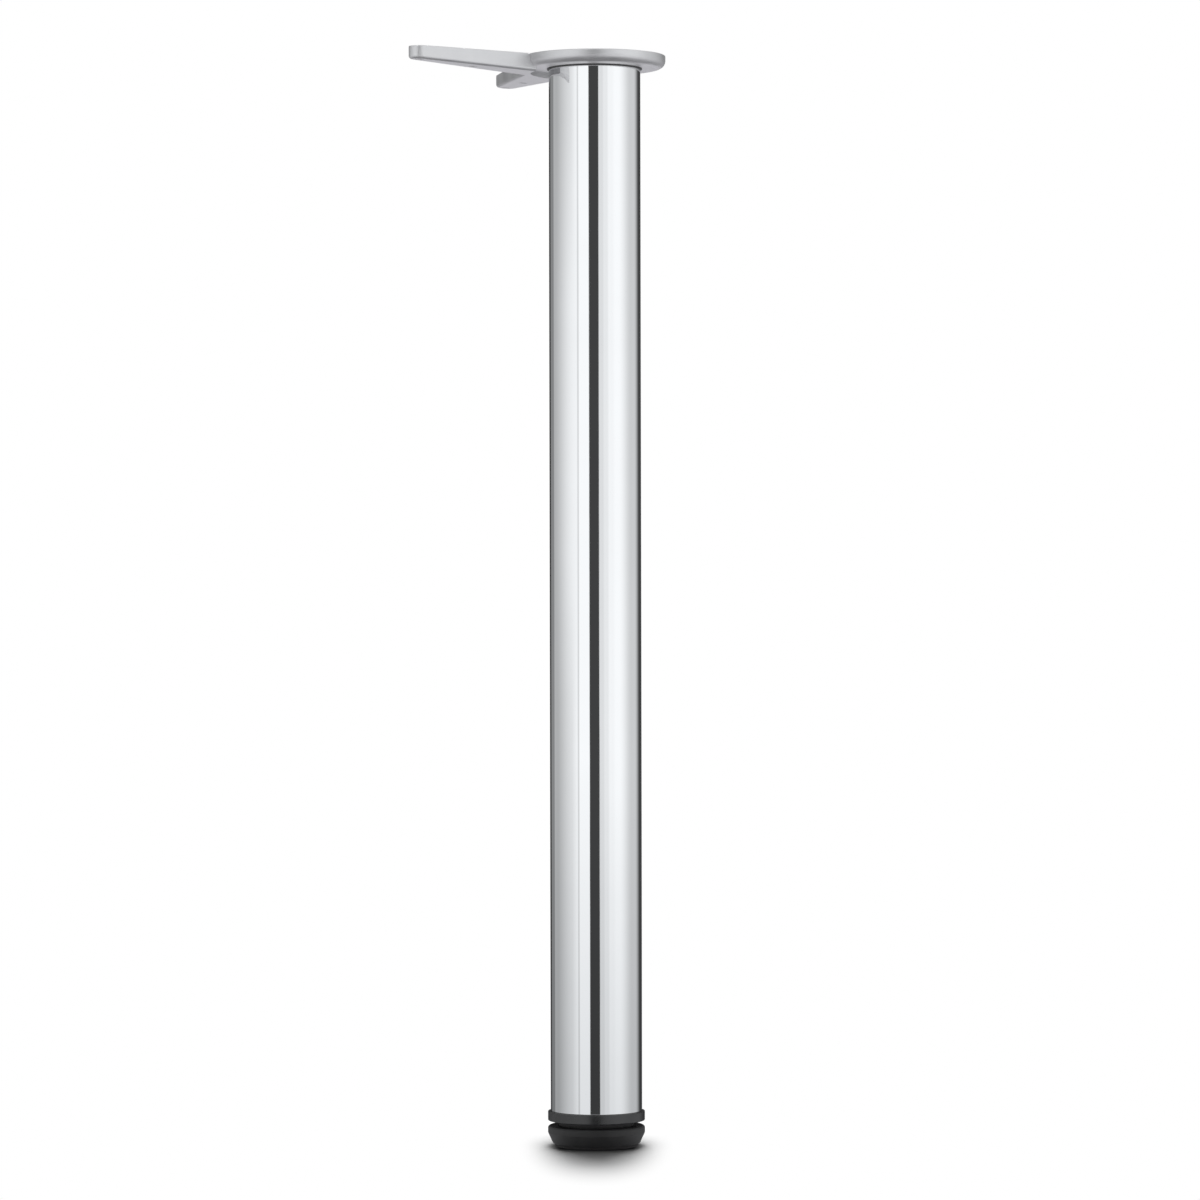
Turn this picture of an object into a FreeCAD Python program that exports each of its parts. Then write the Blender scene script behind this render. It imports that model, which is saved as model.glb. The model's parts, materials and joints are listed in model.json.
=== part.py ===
import FreeCAD, Part
import math
import os
import re
import Sketcher

# Height adjustable table leg, in millimetres.
# The leg stands upright on the floor, which is Z = 0, and Z runs up the axis of its tube.
# The two arms of the mounting bracket spread towards -X, one on each side of the XZ plane.

# Driving dimensions
SIZES = {
    "tube_radius": (30.0, "outside radius of the tube"),
    "tube_wall": (1.2, "wall of the tube"),
    "tube_length": (682.2, "length of the tube"),
    "tube_edge": (0.25, "chamfer that deburrs the outer edges of the tube"),

    "glide_inset": (1.1, "distance of the sole's edge from the edge of the foot's underside"),
    "glide_thickness": (1.9, "thickness of the sole"),
    "glide_edge": (1.0, "rounding of the lower edge of the sole"),
    "glide_gap": (0.1, "gap between the sole and the foot that turns on it"),
    "stem_radius": (7.0, "radius of the stem on which the foot turns"),
    "stem_height": (4.4, "height of the stem above the sole"),
    "bead_lip": (0.5, "distance by which the bead that snaps into the foot stands out from the stem"),
    "bead_rise": (2.6, "height of the bead above the sole"),
    "bead_height": (0.9, "height of the bead itself"),

    "foot_body": (11.5, "height of the foot's disc"),
    "foot_lip": (1.8, "distance by which the foot stands out past the tube"),
    "foot_base_radius": (28.6, "radius of the foot at its underside"),
    "foot_band": (2.9, "height of the straight band between the foot's taper and its upper rounding"),
    "foot_top_round": (1.6, "rounding of the upper edge of the foot"),
    "foot_base_round": (0.8, "rounding of the lower edge of the foot"),
    "neck_radius": (24.6, "radius of the neck that holds the spindle's head"),
    "neck_height": (6.0, "height of the neck above the disc"),
    "neck_round": (0.8, "rounding of the neck's upper edge"),
    "head_rise": (6.8, "height of the spindle's head above the foot's underside"),

    "thread_radius": (6.0, "outside radius of the spindle's thread"),
    "spindle_length": (55.0, "length of the spindle with its head"),
    "spindle_head_across": (19.0, "width of the spindle's head across its flats"),
    "spindle_head_height": (7.5, "height of the spindle's head"),
    "spindle_tip_chamfer": (1.2, "chamfer at the upper end of the spindle"),

    "adjust_gap": (3.3, "gap between the foot and the collar as the leg is shown"),
    "collar_lip": (1.75, "distance by which the collar stands out past the tube"),
    "collar_height": (6.3, "height of the collar"),
    "collar_round": (0.6, "rounding of the collar's edges"),
    "recess_gap": (1.2, "radial room around the foot's neck in the recess that takes it"),
    "recess_over": (1.0, "room above the neck in that recess with the foot screwed right in"),
    "insert_depth": (38.0, "length of the insert within the tube"),
    "insert_floor": (4.0, "thickness of the insert's floor above the recess"),
    "insert_boss_radius": (14.5, "radius of the boss around the insert's nut"),
    "insert_web": (8.0, "thickness of the boss above the nut"),
    "insert_nut_across": (18.0, "width of the insert's nut across its flats"),
    "insert_nut_height": (10.8, "height of the insert's nut"),

    "flange_lip": (1.2, "distance by which the plug's flange stands out past the tube"),
    "flange_thickness": (0.6, "thickness of that flange"),
    "plug_depth": (32.0, "length of the plug within the tube"),
    "plug_web": (9.0, "depth of the plug's solid web below the tube's upper end"),
    "plug_boss_radius": (14.0, "radius of the boss around the plug's nut"),
    "top_nut_seat": (12.0, "depth of the nut's upper face below the tube's upper end"),
    "top_nut_across": (17.0, "width of the plug's nut across its flats"),
    "top_nut_height": (8.0, "height of the plug's nut"),

    "sleeve_wall": (2.8, "wall of the plug's and the insert's sleeves"),
    "sleeve_relief": (0.8, "room between a sleeve and the tube, bridged by ribs"),
    "rib_width": (1.6, "width of a rib on a sleeve"),
    "rib_lead": (3.0, "length of sleeve left without ribs, as a lead into the tube"),
    "rib_count": (12, "ribs around each sleeve"),

    "bolt_radius": (5.0, "radius of the bracket's bolt"),
    "bolt_length": (30.0, "length of the bolt with its head"),
    "bolt_head_radius": (10.0, "radius of the bolt's countersunk head"),
    "bolt_head_land": (0.5, "height of the straight rim of the head"),
    "bolt_head_sink": (0.6, "depth of the head below the table face"),
    "bolt_socket_across": (6.0, "width of the hexagon socket across its flats"),
    "bolt_socket_depth": (4.0, "depth of the hexagon socket"),
    "bolt_tip_chamfer": (1.0, "chamfer at the end of the bolt"),

    "disc_radius": (46.5, "radius of the bracket's disc"),
    "disc_thickness": (8.1, "thickness of the bracket's disc"),
    "disc_under_round": (5.0, "rounding of the disc's lower edge"),
    "spigot_radius": (20.0, "radius of the spigot that centres the bracket in the plug"),
    "spigot_height": (3.0, "height of that spigot"),
    "arm_step": (4.5, "distance from the disc's edge to the step where the arms start under the disc"),
    "arm_root_across": (28.5, "distance of an arm's outer side from the XZ plane at that step"),
    "arm_tip_along": (90.0, "distance of the arm's tip centre from the axis along X"),
    "arm_tip_across": (90.5, "distance of the arm's tip centre from the XZ plane"),
    "arm_tip_radius": (7.0, "radius of the arm's round tip"),
    "arm_root_depth": (11.7, "depth of an arm at the disc"),
    "arm_tip_depth": (8.2, "depth of an arm at its tip"),
    "arm_edge_round": (2.2, "rounding of the arms' lower edges"),
    "bracket_top_round": (0.6, "rounding around the bracket's upper face"),
    "crotch_clear": (3.0, "distance from the disc's edge to the inner corner between the arms"),
    "crotch_radius": (3.0, "rounding of the inner corner between the arms"),
    "screw_radius": (2.75, "radius of the screw holes in the arms"),
    "mid_screw_back": (44.5, "distance along an arm from the hole at its tip to its middle hole"),

    "running_clearance": (0.05, "radial clearance of a turning or screwed fit"),
    "free_clearance": (0.3, "clearance between pieces that pass each other"),
    "press_gap": (0.05, "gap around a piece that is pressed or moulded in"),
    "bolt_hole_clearance": (0.25, "radial clearance of the bolt's hole"),
    "cut_over": (1.0, "distance by which a cutting outline passes the metal it removes"),
}

doc = FreeCAD.newDocument("table_leg")
sheet = doc.addObject("Spreadsheet::Sheet", "Sizes")
for row, (name, (number, meaning)) in enumerate(SIZES.items(), 1):
    sheet.set("A%d" % row, meaning)
    sheet.set("B%d" % row, str(number))
    sheet.setAlias("B%d" % row, name)
doc.recompute()

# Sizes that follow from the driving dimensions
FOOT_LEVEL = "(glide_thickness + glide_gap)"
COLLAR_LEVEL = "(%s + foot_body + adjust_gap)" % FOOT_LEVEL
TUBE_LEVEL = "(%s + collar_height)" % COLLAR_LEVEL
TUBE_TOP = "(%s + tube_length)" % TUBE_LEVEL
TABLE_LEVEL = "(%s + flange_thickness + disc_thickness)" % TUBE_TOP
TUBE_BORE = "(tube_radius - tube_wall)"
SLEEVE_RADIUS = "(%s - sleeve_relief)" % TUBE_BORE
SLEEVE_BORE = "(%s - sleeve_wall)" % SLEEVE_RADIUS
FLANGE_RADIUS = "(tube_radius + flange_lip)"
COLLAR_RADIUS = "(tube_radius + collar_lip)"
FOOT_RADIUS = "(tube_radius + foot_lip)"
GLIDE_RADIUS = "(foot_base_radius - glide_inset)"
BEAD_RADIUS = "(stem_radius + bead_lip)"
RECESS_RADIUS = "(neck_radius + recess_gap)"
RECESS_DEPTH = "(neck_height + recess_over)"
ARM_SEAT = "(disc_radius - arm_step)"
ARM_ROOT_ALONG = "sqrt(%s^2 - arm_root_across^2)" % ARM_SEAT
ARM_REACH = "(arm_tip_along + arm_tip_radius)"
CROTCH = "(disc_radius + crotch_clear)"
CROTCH_CENTRE = "(%s + crotch_radius)" % CROTCH

# The middle hole of an arm lies on the line from its tip to the middle of its root
ARM_FALL = "(arm_tip_along - (%s + %s) / 2)" % (ARM_ROOT_ALONG, CROTCH_CENTRE)
ARM_SPREAD = "(arm_tip_across - arm_root_across / 2)"
BACK_SHARE = "(mid_screw_back / sqrt(%s^2 + %s^2))" % (ARM_FALL, ARM_SPREAD)
MID_SCREW_ALONG = "(arm_tip_along - %s * %s)" % (BACK_SHARE, ARM_FALL)
MID_SCREW_ACROSS = "(arm_tip_across - %s * %s)" % (BACK_SHARE, ARM_SPREAD)

SAME = 1e-4

# A sketch numbers the points of a line in this order, and its own two axes from -1 downwards
LINE_POINTS = ("whole line", "start", "end", "centre")
START = LINE_POINTS.index("start")
END = LINE_POINTS.index("end")
CENTRE = LINE_POINTS.index("centre")
SKETCH_AXES = ("across", "along")
X_AXIS = ~SKETCH_AXES.index("across")
Y_AXIS = ~SKETCH_AXES.index("along")
ORIGIN = (X_AXIS, START)


def with_sheet(expression):
    """The expression with the sheet named before each size."""
    return re.sub(r"[a-z]\w+", lambda word: "Sizes." * (word.group() in SIZES) + word.group(), expression)


def value(expression):
    """The number that an expression in sizes stands for."""
    return float(sheet.evalExpression(with_sheet(expression)))


def bind(thing, member, expression):
    """Tie one property of a document object to an expression in sizes."""
    thing.setExpression(member, with_sheet(expression))


def new_body(label, level):
    """A body that stands at the given level above the floor."""
    body = doc.addObject("PartDesign::Body", label)
    body.Label = label
    bind(body, "Placement.Base.z", level)
    return body


def origin_feature(body, role):
    """One of the body's own origin planes or axes."""
    return [feature for feature in body.Origin.OriginFeatures if feature.Role == role][0]


def new_sketch(body, name, role, offset="0"):
    """A sketch on one of the body's origin planes, moved along the plane's normal."""
    sketch = body.newObject("Sketcher::SketchObject", name)
    sketch.AttachmentSupport = (origin_feature(body, role), [""])
    sketch.MapMode = "FlatFace"
    bind(sketch, "AttachmentOffset.Base.z", offset)
    return sketch


def measure(sketch, kind, parts, expression):
    """One dimension of a sketch, tied to an expression in sizes."""
    index = sketch.addConstraint(Sketcher.Constraint(kind, *parts, value(expression)))
    bind(sketch, "Constraints[%d]" % index, expression)


def pin(sketch, line, end, across, along):
    """Hold one point of a sketch at two expressions, or on an axis where one of them is zero."""
    for kind, expression, axis in (("DistanceX", across, Y_AXIS), ("DistanceY", along, X_AXIS)):
        if expression == "0":
            sketch.addConstraint(Sketcher.Constraint("PointOnObject", line, end, axis))
        else:
            measure(sketch, kind, (*ORIGIN, line, end), expression)


def end_at(sketch, line, point):
    """Which end of a sketch line lies at a point."""
    from_start = sketch.getPoint(line, START).distanceToPoint(point)
    from_end = sketch.getPoint(line, END).distanceToPoint(point)
    return START if from_start < from_end else END


def join(sketch, kind, first, second, point):
    """Join the ends of two sketch lines that meet at a point."""
    ends = (first, end_at(sketch, first, point), second, end_at(sketch, second, point))
    sketch.addConstraint(Sketcher.Constraint(kind, *ends))


def arc_between(start, end, radius):
    """The arc between two points that bulges to the left of the way from one to the other."""
    chord = end - start
    right = FreeCAD.Vector(chord.y, -chord.x, 0).normalize()
    centre = (start + end) * 0.5 + right * math.sqrt(radius ** 2 - chord.Length ** 2 / 4)
    return Part.Arc(start, centre - right * radius, end)


def draw_outline(sketch, points):
    """A closed outline through points, each given by expressions for its two coordinates.

    A third expression is the radius of an arc to the next point. An outline with arcs runs clockwise,
    so that its arcs bulge outward. All other stretches are straight lines.
    """
    corners = [FreeCAD.Vector(value(point[0]), value(point[1]), 0) for point in points]
    stretches = []
    for point, corner, following in zip(points, corners, corners[1:] + corners[:1]):
        if len(point) == 3:
            stretch = arc_between(corner, following, value(point[2]))
        else:
            stretch = Part.LineSegment(corner, following)
        stretches.append(sketch.addGeometry(stretch, False))
    for point, corner, before, after in zip(points, corners, stretches[-1:] + stretches[:-1], stretches):
        join(sketch, "Coincident", before, after, corner)
        pin(sketch, after, end_at(sketch, after, corner), point[0], point[1])
        if len(point) == 3:
            measure(sketch, "Radius", (after,), point[2])


def draw_circle(sketch, radius, across="0", along="0"):
    """A circle about a point given as a pair of expressions."""
    middle = FreeCAD.Vector(value(across), value(along), 0)
    circle = sketch.addGeometry(Part.Circle(middle, FreeCAD.Vector(0, 0, 1), value(radius)), False)
    pin(sketch, circle, CENTRE, across, along)
    measure(sketch, "Radius", (circle,), radius)


def hexagon(across):
    """The six corners of a hexagon from its width across flats."""
    half = "(%s) / 2" % across
    rise = "(%s) / 2 * tan(30)" % across
    right = [(half, "-" + rise), (half, rise)]
    left = [("-" + half, rise), ("-" + half, "-" + rise)]
    return right + [("0", "2 * " + rise)] + left + [("0", "-2 * " + rise)]


def turned(body, name, points):
    """A solid turned about the body's Z axis from an outline of (radius, height) points."""
    sketch = new_sketch(body, name + "_outline", "XZ_Plane")
    draw_outline(sketch, points)
    solid = body.newObject("PartDesign::Revolution", name)
    solid.Profile = sketch
    solid.ReferenceAxis = (sketch, ["V_Axis"])
    solid.Angle = 360
    doc.recompute()
    return solid


def padded(body, name, sketch, length, downward=False):
    """A solid raised from a sketch."""
    solid = body.newObject("PartDesign::Pad", name)
    solid.Profile = sketch
    solid.Reversed = downward
    bind(solid, "Length", length)
    doc.recompute()
    return solid


def check_cut(body, feature, before):
    """Refuse a cut that took nothing away."""
    doc.recompute()
    if feature.Shape.Volume > before - SAME:
        raise RuntimeError("%s of %s cut nothing" % (feature.Name, body.Label))
    return feature


def pocket(body, name, sketch, depth=None, upward=False, both_sides=False):
    """A cut from a sketch, of the given depth or right through the body."""
    before = body.Tip.Shape.Volume
    cut = body.newObject("PartDesign::Pocket", name)
    cut.Profile = sketch
    cut.Reversed = upward
    cut.SideType = "Symmetric" if both_sides else "One side"
    cut.Type = "Length" if depth else "ThroughAll"
    if depth:
        bind(cut, "Length", depth)
    return check_cut(body, cut, before)


def groove(body, name, outlines):
    """A cut turned about the body's Z axis from outlines of (radius, height) points."""
    before = body.Tip.Shape.Volume
    sketch = new_sketch(body, name + "_outline", "XZ_Plane")
    for points in outlines:
        draw_outline(sketch, points)
    cut = body.newObject("PartDesign::Groove", name)
    cut.Profile = sketch
    cut.ReferenceAxis = (sketch, ["V_Axis"])
    cut.Angle = 360
    return check_cut(body, cut, before)


def ring_edge(feature, radius, height):
    """The name of the circular edge about the Z axis with the given radius and height."""
    for number, edge in enumerate(feature.Shape.Edges, 1):
        curve = edge.Curve
        if not isinstance(curve, Part.Circle):
            continue
        on_axis = abs(curve.Center.x) + abs(curve.Center.y) < SAME
        level = abs(curve.Center.z - value(height)) < SAME
        if on_axis and level and abs(curve.Radius - value(radius)) < SAME:
            return "Edge%d" % number
    raise RuntimeError("%s has no edge at radius %s" % (feature.Name, radius))


def dressed(body, kind, name, edges, member, size):
    """A fillet or chamfer of the given edges of the body's last feature."""
    base = body.Tip
    feature = body.newObject("PartDesign::" + kind, name)
    feature.Base = (base, edges)
    bind(feature, member, size)
    doc.recompute()
    return feature


def rounded(body, name, edges, radius):
    """A fillet of the given edges."""
    return dressed(body, "Fillet", name, edges, "Radius", radius)


def chamfered(body, name, edges, size):
    """A chamfer of the given edges."""
    return dressed(body, "Chamfer", name, edges, "Size", size)


def ribbed(body, bottom, length):
    """Ribs around a sleeve that reach from its outside to the bore of the tube."""
    sketch = new_sketch(body, "rib_outline", "XY_Plane", bottom)
    inner = "%s - sleeve_wall / 2" % SLEEVE_RADIUS
    outer = "%s - press_gap" % TUBE_BORE
    side = "rib_width / 2"
    draw_outline(sketch, [(inner, "-" + side), (outer, "-" + side), (outer, side), (inner, side)])
    rib = padded(body, "rib", sketch, length)
    ribs = body.newObject("PartDesign::PolarPattern", "ribs")
    ribs.Originals = [rib]
    ribs.Axis = (origin_feature(body, "Z_Axis"), [""])
    ribs.Angle = 360
    bind(ribs, "Occurrences", "rib_count")
    body.Tip = ribs
    doc.recompute()


def hexagon_sketch(body, name, across, offset="0"):
    """A sketch of a hexagon at a height in the body."""
    sketch = new_sketch(body, name, "XY_Plane", offset)
    draw_outline(sketch, hexagon(across))
    return sketch


def hexagon_nut(label, level, across, height, thread):
    """A hexagon nut with chamfered corners, standing on its lower face."""
    body = new_body(label, level)
    padded(body, "hexagon", hexagon_sketch(body, "hexagon_outline", across), height)
    bore = new_sketch(body, "bore_outline", "XY_Plane")
    draw_circle(bore, "%s + running_clearance" % thread)
    pocket(body, "bore", bore, upward=True)
    flat = "%s / 2" % across
    corner = "%s / 2 / cos(30) + cut_over" % across
    fall = "(%s - %s) * tan(30)" % (corner, flat)
    above = [(flat, height), (corner, height), (corner, "%s - %s" % (height, fall))]
    below = [(flat, "0"), (corner, "0"), (corner, fall)]
    groove(body, "corners", [above, below])
    return body


def make_tube():
    """The chromed steel tube."""
    body = new_body("leg_tube", TUBE_LEVEL)
    section = new_sketch(body, "section", "XY_Plane")
    draw_circle(section, "tube_radius")
    draw_circle(section, TUBE_BORE)
    tube = padded(body, "wall", section, "tube_length")
    ends = [ring_edge(tube, "tube_radius", "0"), ring_edge(tube, "tube_radius", "tube_length")]
    chamfered(body, "deburred_ends", ends, "tube_edge")
    return body


def make_glide():
    """The soft sole, with the stem on which the foot turns."""
    body = new_body("glide_pad", "0")
    stem_top = "glide_thickness + stem_height"
    bead_low = "glide_thickness + bead_rise"
    bead_top = bead_low + " + bead_height"
    sole = turned(body, "sole", [
        ("0", "0"), (GLIDE_RADIUS, "0"), (GLIDE_RADIUS, "glide_thickness"),
        ("stem_radius", "glide_thickness"), ("stem_radius", bead_low), (BEAD_RADIUS, bead_low),
        (BEAD_RADIUS, bead_top), ("stem_radius", bead_top), ("stem_radius", stem_top), ("0", stem_top)])
    rounded(body, "sole_edge", [ring_edge(sole, GLIDE_RADIUS, "0")], "glide_edge")
    return body


def make_foot():
    """The moulded foot: a disc that tapers to the floor, and a neck around the spindle's head."""
    body = new_body("foot_base", FOOT_LEVEL)
    bore = "stem_radius + running_clearance"
    bore_top = "stem_height - glide_gap + free_clearance"
    slot = "%s + free_clearance" % BEAD_RADIUS
    slot_low = "bead_rise - glide_gap - free_clearance"
    slot_top = "bead_rise - glide_gap + bead_height + free_clearance"
    taper_top = "foot_body - foot_top_round - foot_band"
    neck_top = "foot_body + neck_height"
    foot = turned(body, "moulding", [
        ("0", bore_top), (bore, bore_top), (bore, slot_top), (slot, slot_top), (slot, slot_low),
        (bore, slot_low), (bore, "0"), ("foot_base_radius", "0"), (FOOT_RADIUS, taper_top),
        (FOOT_RADIUS, "foot_body"), ("neck_radius", "foot_body"), ("neck_radius", neck_top),
        ("0", neck_top)])
    rounded(body, "upper_edge", [ring_edge(foot, FOOT_RADIUS, "foot_body")], "foot_top_round")
    rounded(body, "lower_edge", [ring_edge(body.Tip, "foot_base_radius", "0")], "foot_base_round")
    rounded(body, "neck_edge", [ring_edge(body.Tip, "neck_radius", neck_top)], "neck_round")
    across = "spindle_head_across + 2 * press_gap"
    head = hexagon_sketch(body, "head_outline", across, "head_rise - press_gap")
    pocket(body, "head_room", head, "spindle_head_height + 2 * press_gap", upward=True)
    shank = new_sketch(body, "shank_outline", "XY_Plane", "head_rise")
    draw_circle(shank, "thread_radius + press_gap")
    pocket(body, "shank_room", shank, upward=True)
    return body


def make_spindle():
    """The threaded spindle, with the hexagon head that is moulded into the foot."""
    body = new_body("spindle", "%s + head_rise" % FOOT_LEVEL)
    outline = hexagon_sketch(body, "head_outline", "spindle_head_across")
    padded(body, "head", outline, "spindle_head_height")
    shank = new_sketch(body, "shank_outline", "XY_Plane")
    draw_circle(shank, "thread_radius")
    thread = padded(body, "thread", shank, "spindle_length")
    tip = ring_edge(thread, "thread_radius", "spindle_length")
    chamfered(body, "tip", [tip], "spindle_tip_chamfer")
    return body


def make_insert():
    """The moulded insert: the collar under the tube, and the sleeve and boss inside it."""
    body = new_body("foot_insert", COLLAR_LEVEL)
    top = "collar_height + insert_depth"
    floor_top = "%s + insert_floor" % RECESS_DEPTH
    boss_top = "%s + insert_nut_height + insert_web" % RECESS_DEPTH
    bore = "thread_radius + free_clearance"
    moulding = turned(body, "moulding", [
        (RECESS_RADIUS, "0"), (COLLAR_RADIUS, "0"), (COLLAR_RADIUS, "collar_height"),
        (SLEEVE_RADIUS, "collar_height"), (SLEEVE_RADIUS, top), (SLEEVE_BORE, top),
        (SLEEVE_BORE, floor_top), ("insert_boss_radius", floor_top), ("insert_boss_radius", boss_top),
        (bore, boss_top), (bore, RECESS_DEPTH), (RECESS_RADIUS, RECESS_DEPTH)])
    edges = [ring_edge(moulding, COLLAR_RADIUS, level) for level in ("0", "collar_height")]
    rounded(body, "collar_edges", edges, "collar_round")
    across = "insert_nut_across + 2 * press_gap"
    room = hexagon_sketch(body, "nut_outline", across, RECESS_DEPTH)
    pocket(body, "nut_room", room, "insert_nut_height", upward=True)
    ribbed(body, "collar_height", "insert_depth - rib_lead")
    return body


def make_plug():
    """The moulded plug in the tube's upper end, with the flange that shows under the bracket."""
    body = new_body("top_plug", TUBE_TOP)
    seat = "flange_thickness - spigot_height - free_clearance"
    recess = "spigot_radius + press_gap"
    bore = "bolt_radius + bolt_hole_clearance"
    boss_bottom = "-(top_nut_seat + top_nut_height)"
    turned(body, "moulding", [
        (bore, seat), (recess, seat), (recess, "flange_thickness"), (FLANGE_RADIUS, "flange_thickness"),
        (FLANGE_RADIUS, "0"), (SLEEVE_RADIUS, "0"), (SLEEVE_RADIUS, "-plug_depth"),
        (SLEEVE_BORE, "-plug_depth"), (SLEEVE_BORE, "-plug_web"), ("plug_boss_radius", "-plug_web"),
        ("plug_boss_radius", boss_bottom), (bore, boss_bottom)])
    across = "top_nut_across + 2 * press_gap"
    room = hexagon_sketch(body, "nut_outline", across, boss_bottom)
    pocket(body, "nut_room", room, "top_nut_height", upward=True)
    ribbed(body, "rib_lead - plug_depth", "plug_depth - rib_lead")
    return body


def make_bolt():
    """The countersunk bolt that draws the bracket onto the plug."""
    body = new_body("bracket_bolt", "%s - bolt_head_sink" % TABLE_LEVEL)
    cone = "-(bolt_head_land + bolt_head_radius - bolt_radius)"
    turned(body, "shank", [
        ("0", "0"), ("bolt_head_radius", "0"), ("bolt_head_radius", "-bolt_head_land"),
        ("bolt_radius", cone), ("bolt_radius", "bolt_tip_chamfer - bolt_length"),
        ("bolt_radius - bolt_tip_chamfer", "-bolt_length"), ("0", "-bolt_length")])
    socket = hexagon_sketch(body, "socket_outline", "bolt_socket_across")
    pocket(body, "socket", socket, "bolt_socket_depth")
    return body


def draw_arc(sketch, points, radius, across, along):
    """An arc through three points, held by its radius and its centre."""
    arc = sketch.addGeometry(Part.Arc(*points), False)
    pin(sketch, arc, CENTRE, across, along)
    measure(sketch, "Radius", (arc,), radius)
    return arc


def draw_arms(sketch):
    """Both arms in plan: a wishbone that starts on the step under the disc and ends in round tips.

    The outer side of each arm runs from the step to the tip and touches the tip's circle. The inner
    sides touch the tips' circles and the small circle of the inner corner, which lies on the X axis.
    """
    upright = FreeCAD.Vector(0, 0, 1)
    corner = FreeCAD.Vector(-value(CROTCH_CENTRE), 0, 0)
    outer_ends = []
    inner_ends = []
    for side, sign in ((1, ""), (-1, "-")):
        root = FreeCAD.Vector(-value(ARM_ROOT_ALONG), side * value("arm_root_across"), 0)
        tip = FreeCAD.Vector(-value("arm_tip_along"), side * value("arm_tip_across"), 0)
        outward = (tip - root).cross(upright).normalize() * side
        inward = (corner - tip).cross(upright).normalize() * side
        touch_outer = tip + outward * value("arm_tip_radius")
        touch_inner = tip + inward * value("arm_tip_radius")
        bend = corner - inward * value("crotch_radius")
        beyond = tip + (tip - root).normalize() * value("arm_tip_radius")
        outer = sketch.addGeometry(Part.LineSegment(root, touch_outer), False)
        inner = sketch.addGeometry(Part.LineSegment(touch_inner, bend), False)
        tip_arc = draw_arc(
            sketch, (touch_outer, beyond, touch_inner), "arm_tip_radius",
            "-arm_tip_along", sign + "arm_tip_across")
        join(sketch, "Tangent", outer, tip_arc, touch_outer)
        join(sketch, "Tangent", tip_arc, inner, touch_inner)
        measure(sketch, "DistanceY", (*ORIGIN, outer, START), sign + "arm_root_across")
        outer_ends.append((outer, root))
        inner_ends.append((inner, bend))
    step_middle = FreeCAD.Vector(-value(ARM_SEAT), 0, 0)
    step_points = (outer_ends[0][1], step_middle, outer_ends[1][1])
    step = draw_arc(sketch, step_points, ARM_SEAT, "0", "0")
    nearest = FreeCAD.Vector(-value(CROTCH), 0, 0)
    crotch_points = (inner_ends[0][1], nearest, inner_ends[1][1])
    crotch = draw_arc(sketch, crotch_points, "crotch_radius", "-" + CROTCH_CENTRE, "0")
    for line, point in outer_ends:
        join(sketch, "Coincident", line, step, point)
    for line, point in inner_ends:
        join(sketch, "Tangent", line, crotch, point)


def arm_edges(feature, in_face):
    """The edges around one face of the arms, apart from those on the step under the disc."""
    step = value(ARM_SEAT)
    names = []
    for number, edge in enumerate(feature.Shape.Edges, 1):
        points = edge.discretize(3)
        on_step = all(abs(math.hypot(p.x, p.y) - step) < SAME for p in points)
        if all(in_face(p) for p in points) and not on_step:
            names.append("Edge%d" % number)
    return names


def drill_arms(body):
    """Four holes down through the arms: one at each tip and one half-way along each arm."""
    sketch = new_sketch(body, "screw_holes_outline", "XY_Plane")
    for sign in ("", "-"):
        draw_circle(sketch, "screw_radius", "-arm_tip_along", sign + "arm_tip_across")
        draw_circle(sketch, "screw_radius", "-" + MID_SCREW_ALONG, sign + MID_SCREW_ACROSS)
    pocket(body, "screw_holes", sketch)


def make_bracket():
    """The cast bracket: two arms for wood screws, and a disc with a spigot and a countersunk hole."""
    body = new_body("mounting_bracket", TABLE_LEVEL)
    plan = new_sketch(body, "arms_outline", "XY_Plane")
    draw_arms(plan)
    padded(body, "arms", plan, "arm_root_depth", downward=True)
    slope = new_sketch(body, "slope_outline", "XZ_Plane")
    root = "-" + ARM_ROOT_ALONG
    beyond = "-(%s + cut_over)" % ARM_REACH
    below = "-(arm_root_depth + cut_over)"
    draw_outline(slope, [
        (root, "-arm_root_depth"), ("-" + ARM_REACH, "-arm_tip_depth"), (beyond, "-arm_tip_depth"),
        (beyond, below), (root, below)])
    pocket(body, "slope", slope, both_sides=True)
    root_along = value(ARM_ROOT_ALONG)
    fall = value("(arm_root_depth - arm_tip_depth) / (%s - %s)" % (ARM_REACH, ARM_ROOT_ALONG))
    underside = arm_edges(
        body.Tip, lambda p: abs(p.z + value("arm_root_depth") + fall * (p.x + root_along)) < SAME)
    rounded(body, "lower_edges", underside, "arm_edge_round")
    upper_side = arm_edges(body.Tip, lambda p: abs(p.z) < SAME)
    rounded(body, "upper_edges", upper_side, "bracket_top_round")
    bore = "(bolt_radius + bolt_hole_clearance)"
    mouth = "(bolt_head_radius + bolt_head_land + bolt_head_sink + press_gap)"
    spigot_end = "-(disc_thickness + spigot_height)"
    turned(body, "disc", [
        (mouth, "0"), ("disc_radius - bracket_top_round", "0", "bracket_top_round"),
        ("disc_radius", "-bracket_top_round"),
        ("disc_radius", "disc_under_round - disc_thickness", "disc_under_round"),
        ("disc_radius - disc_under_round", "-disc_thickness"),
        ("spigot_radius", "-disc_thickness"), ("spigot_radius", spigot_end), (bore, spigot_end),
        (bore, "%s - %s" % (bore, mouth))])
    drill_arms(body)
    return body


bodies = [make_tube(), make_glide(), make_foot(), make_spindle(), make_insert(), make_plug(), make_bolt()]
bodies.append(make_bracket())
bodies.append(hexagon_nut(
    "insert_nut", "%s + %s" % (COLLAR_LEVEL, RECESS_DEPTH), "insert_nut_across", "insert_nut_height",
    "thread_radius"))
bodies.append(hexagon_nut(
    "top_nut", "%s - top_nut_seat - top_nut_height" % TUBE_TOP, "top_nut_across", "top_nut_height",
    "bolt_radius"))

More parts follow.
